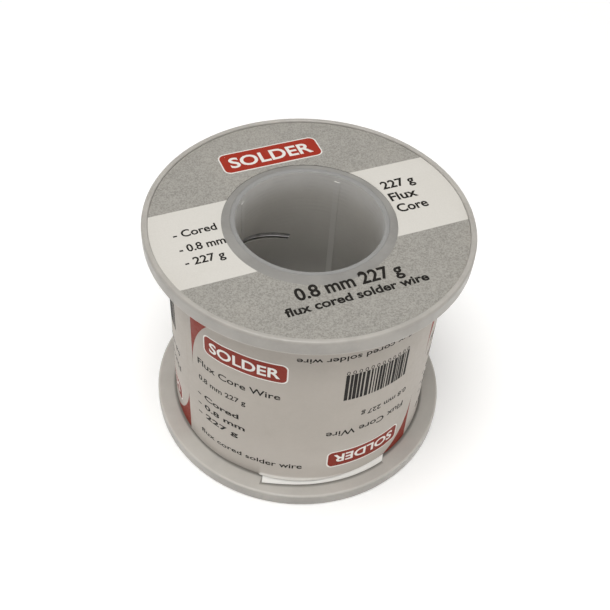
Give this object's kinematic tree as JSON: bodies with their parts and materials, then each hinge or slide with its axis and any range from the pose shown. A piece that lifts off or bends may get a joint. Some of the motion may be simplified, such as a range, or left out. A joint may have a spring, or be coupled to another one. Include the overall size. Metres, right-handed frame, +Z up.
{
  "type": "solder wire spool",
  "caption": "Plastic spool wound with flux-cored solder wire, with a bore for a spindle, paper labels on its flanges and a paper label round the winding.",
  "frame": {"origin": "centre of the lower rim's resting plane, on the bore's axis", "axes": "+Z up along the bore; -Y towards the side of the winding where the tape shows over the lower flange"},
  "size_m": [0.05, 0.05, 0.0405],
  "materials": {
    "flange_plastic": "satin translucent grey moulding",
    "barrel_plastic": "satin translucent grey moulding",
    "solder": "dull drawn tin-lead wire",
    "flux": "amber rosin",
    "tape_paper": "smooth white paper tape",
    "wrap_paper": "printed off-white label paper",
    "face_paper": "silver-grey speckled label with a white band"
  },
  "bodies": {
    "root": {"hub_barrel": "barrel_plastic", "lower_flange": "flange_plastic", "upper_flange": "flange_plastic", "solder_layer_01": "solder", "solder_layer_02": "solder", "solder_layer_03": "solder", "solder_layer_04": "solder", "solder_layer_05": "solder", "solder_layer_06": "solder", "solder_layer_07": "solder", "solder_layer_08": "solder", "solder_layer_09": "solder", "solder_layer_10": "solder", "solder_layer_11": "solder", "solder_layer_12": "solder", "solder_start_tail": "solder", "solder_start_core": "flux", "end_tape": "tape_paper", "wrap_label": "wrap_paper", "upper_label": "face_paper", "lower_label": "face_paper"}
  },
  "joints": []
}
